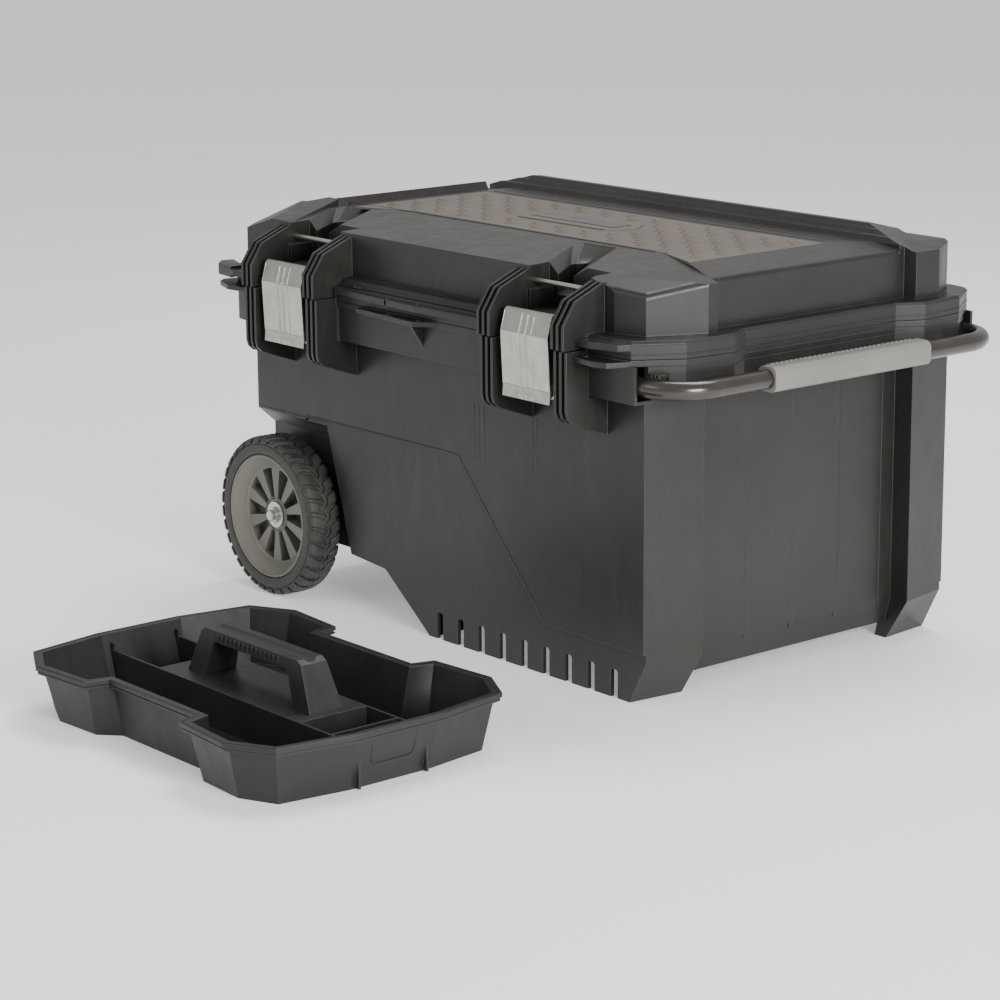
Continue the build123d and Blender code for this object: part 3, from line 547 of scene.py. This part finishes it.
def latch_trim(c):
    """Stiffened edges, lip notches and the small ribs at a latch plate's foot."""
    form = Form()
    for x in (-9, 0, 9):
        form.block((c + x, -260.0, 296.5), (0, 0, 1), (0, -1, 0), 5.5, 2.4, 0.9, 0.4, 0.4)
    for side in (-1, 1):
        form.bead([(c + side * 34.4, -259.6, 305.5), (c + side * 34.4, -262.3, 358),
                   (c + side * 34.4, -257.0, 377.2)], (0, -1, 0.05), 1.1, 0.45)
    form.bead([(c - 34.2, -259.5, 305.2), (c + 34.2, -259.5, 305.2)], (0, -1, 0), 1.4, 0.5)
    form.bead([(c - 34.2, -262.6, 358.6), (c + 34.2, -262.6, 358.6)], (0, -1, 0.1), 1.2, 0.35)
    return form


def tray_trim():
    """Bead round the tray's lip, end-wall embosses and the handle's side grips."""
    form = Form()
    quarter = [(216, 48), (202, 128), (156, 153), (80, 147), (73, 124)]
    full = (quarter + [(-x, y) for x, y in reversed(quarter)] + [(-x, -y) for x, y in quarter]
            + [(x, -y) for x, y in reversed(quarter)])
    inner = [(TRAY[0] + x * 0.992, TRAY[1] + y * 0.988) for x, y in full]
    form.bead([(x, y, 57) for x, y in inner], (0, 0, 1), 1.6, 0.7, closed=True)
    form.bead([(TRAY[0] + x * 0.990, TRAY[1] + y * 0.986, 51.0) for x, y in full], None, 1.2, 0.8,
              closed=True)
    for side in (-1, 1):
        x0, x1 = TRAY[0] + side * 197.6, TRAY[0] + side * 203.8
        path = []
        for y, z in ((-26, 46), (-24, 24), (-20, 20), (20, 20), (24, 24), (26, 46)):
            t = (z - 2) / 55
            path.append((x0 + (x1 - x0) * t + side * 5.2 * t, TRAY[1] + y, z))
        form.bead(path, (side, 0, -0.2), 2.4, 0.7)
    for side in (-1, 1):
        for k in range(15):
            x = TRAY[0] - 49 + 7 * k
            form.block((x, TRAY[1] + side * 15.2, 82), (0, 0, 1), (0, side, 0.1), 7, 2.4, 0.9, 0.3, 0.6)
    return form


aim_camera()
set_stage()
shell = moulded("shell_plastic", (0.0125, 0.0118, 0.0108), (0.020, 0.0185, 0.0165))
tray_skin = moulded("tray_plastic", (0.0135, 0.0128, 0.0118), (0.019, 0.0178, 0.016), rough=0.48,
                    grain=0.16, flow=0.3, scratch=0.25)
insert_skin = moulded("insert_plastic", (0.098, 0.083, 0.069), (0.126, 0.108, 0.091), rough=0.55,
                      edge=0.0005, scratch=0.3, flow=0.2, lift=0.35)
plate_skin = moulded("plate_black", (0.004, 0.004, 0.004), (0.006, 0.006, 0.006), rough=0.22,
                     edge=0.0005, scratch=0.1, flow=0.1)
grip_skin = moulded("grip_plastic", (0.155, 0.157, 0.148), (0.188, 0.188, 0.176), rough=0.5,
                    scratch=0.3, flow=0.2, lift=0.3)
glide_skin = moulded("glide_plastic", (0.010, 0.010, 0.010), (0.016, 0.016, 0.016))
rim_skin = moulded("rim_plastic", (0.122, 0.118, 0.100), (0.160, 0.154, 0.132), rough=0.42,
                   scratch=0.2, flow=0.2, edge=0.0008, lift=0.4)
zinc = sheet_steel("zinc_plate")
tread = rubber("tyre_rubber")
paint(shell, "tub", "handle_channel_front", "handle_channel_rear", "lid")
paint(tray_skin, "tray", "tray_handle")
paint(insert_skin, "lid_insert")
paint(plate_skin, "name_plate")
paint(grip_skin, "handle_grip")
paint(glide_skin, "handle_glides", "wheel_bush_front", "wheel_bush_rear")
paint(rim_skin, "wheel_rim_front", "wheel_rim_rear")
paint(zinc, "latch_plate_left", "latch_plate_right", "latch_bail_left", "latch_bail_right",
      "tie_rod_left", "tie_rod_right", "hinge_pins", "axle", "axle_washers", "push_nuts")
paint(painted_tube("tube_coat"), "handle_tube")

tread_plate().piece("tread_bumps", "lid", "insert_taupe", insert_skin)
ridge_lines().piece("ridge_lines", "lid", "moulded_dark", shell)
front_ledge().piece("ledge_lines", "lid", "moulded_dark", shell)
rim_beads(((351.2, 1.3, 0.6), (360.6, 1.0, 0.5))).piece("flange_beads", "lid", "moulded_dark", shell)
rim_beads(((343.4, 1.3, 0.6), (334.0, 1.1, 0.5), (318.4, 1.6, 0.6)), -0.9, 3, -3).piece(
    "skirt_beads", "chest", "moulded_dark", shell)
wall_flutes().piece("wall_flutes", "chest", "moulded_dark", shell)
skirt_teeth().piece("skirt_teeth", "chest", "moulded_dark", shell)
tray_trim().piece("tray_trim", "tray", "tray_dark", tray_skin)
grip_ridges().piece("grip_ridges", "pull_handle", "grip_grey", grip_skin)
for where, c in LATCHES.items():
    latch_trim(c).piece(f"latch_trim_{where}", f"latch_{where}", "zinc_steel", zinc)
for where, side in (("front", -1), ("rear", 1)):
    tyre = wheel_tyre(side).piece(f"tread_tyre_{where}", f"wheel_{where}", "tyre_black", tread)
    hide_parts(f"tyre_{where}")
    wheel_trim(side).piece(f"rim_rings_{where}", f"wheel_{where}", "rim_grey", rim_skin)
